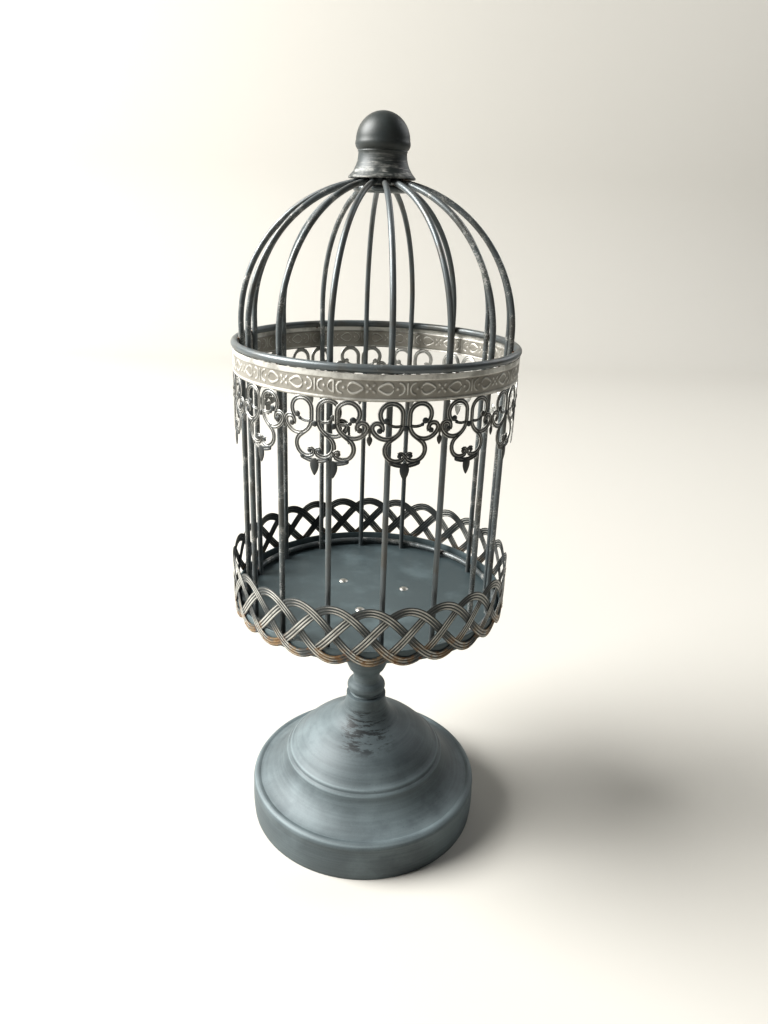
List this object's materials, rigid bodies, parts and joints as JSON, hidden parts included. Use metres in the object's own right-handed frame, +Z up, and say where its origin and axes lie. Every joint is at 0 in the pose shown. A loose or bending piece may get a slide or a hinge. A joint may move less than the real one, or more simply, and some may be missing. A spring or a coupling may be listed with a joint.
{
  "type": "bird cage on stand",
  "caption": "Domed wire bird cage with a scrolled valance, lifting off a footed tray with a pierced gallery, for a candle or plant.",
  "frame": {"origin": "centre of the foot's underside, on the surface it stands on", "axes": "+Z up along the centre line; -Y is the front; the object is round about Z apart from its repeats"},
  "size_m": [0.1626, 0.1626, 0.42],
  "materials": {
    "foot_paint": "matte blue-grey paint with rubbed patches",
    "wire_paint": "satin dark grey paint with a chalky pale wash rubbed over it",
    "washed_paint": "chalky off-white wash over grey paint, darker in the hollows",
    "rusted_paint": "blue-grey paint with ochre and rust staining",
    "zinc_fixing": "dull zinc plate",
    "rivet_steel": "worn steel, brighter than the paint"
  },
  "bodies": {
    "stand": {"foot": "foot_paint", "stem": "foot_paint", "stud": "zinc_fixing", "foot_washer": "zinc_fixing", "foot_nut": "zinc_fixing", "cup": "foot_paint", "cup_washer": "zinc_fixing", "cup_nut": "zinc_fixing", "tray": "rusted_paint", "tray_rivets": "rivet_steel", "gallery": "rusted_paint"},
    "cage": {"bar_01": "wire_paint", "bar_02": "wire_paint", "bar_03": "wire_paint", "bar_04": "wire_paint", "bar_05": "wire_paint", "bar_06": "wire_paint", "bar_07": "wire_paint", "bar_08": "wire_paint", "bar_09": "wire_paint", "bar_10": "wire_paint", "bar_11": "wire_paint", "bar_12": "wire_paint", "bar_13": "wire_paint", "bar_14": "wire_paint", "bar_15": "wire_paint", "bar_16": "wire_paint", "base_ring": "wire_paint", "rim_hoop": "wire_paint", "band": "washed_paint", "hub_ring": "rusted_paint", "hub_plate": "wire_paint", "hub_washer": "zinc_fixing", "hub_screw": "zinc_fixing", "finial": "wire_paint"}
  },
  "joints": [
    {"name": "cage_lift", "type": "slide", "parent": "stand", "child": "cage", "axis": [0, 0, 1], "range_m": [0, 0.08]}
  ]
}
